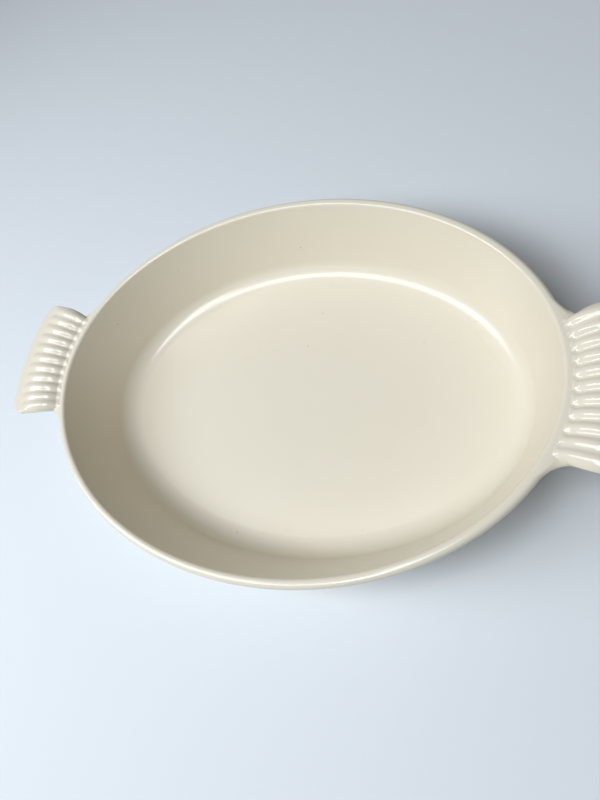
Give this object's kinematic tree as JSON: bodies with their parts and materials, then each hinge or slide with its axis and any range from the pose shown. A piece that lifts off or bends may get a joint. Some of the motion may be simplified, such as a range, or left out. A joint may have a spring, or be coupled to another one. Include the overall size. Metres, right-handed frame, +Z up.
{
  "type": "gratin dish",
  "caption": "Shallow oval gratin dish of enamelled cast iron, with flared walls, a foot ring and a fan-fluted handle at each end.",
  "frame": {"origin": "centre of the foot ring's sole, on the surface that the dish stands on", "axes": "+X along the dish through both handles, +Y across it, +Z up"},
  "size_m": [0.2946, 0.1748, 0.0485],
  "materials": {
    "cast_iron": "matte",
    "satin_enamel": "satin",
    "gloss_enamel": "gloss"
  },
  "bodies": {
    "root": {"cast_iron_body": "cast_iron", "inner_enamel": "satin_enamel", "outer_enamel": "gloss_enamel", "base_enamel": "gloss_enamel"}
  },
  "joints": []
}
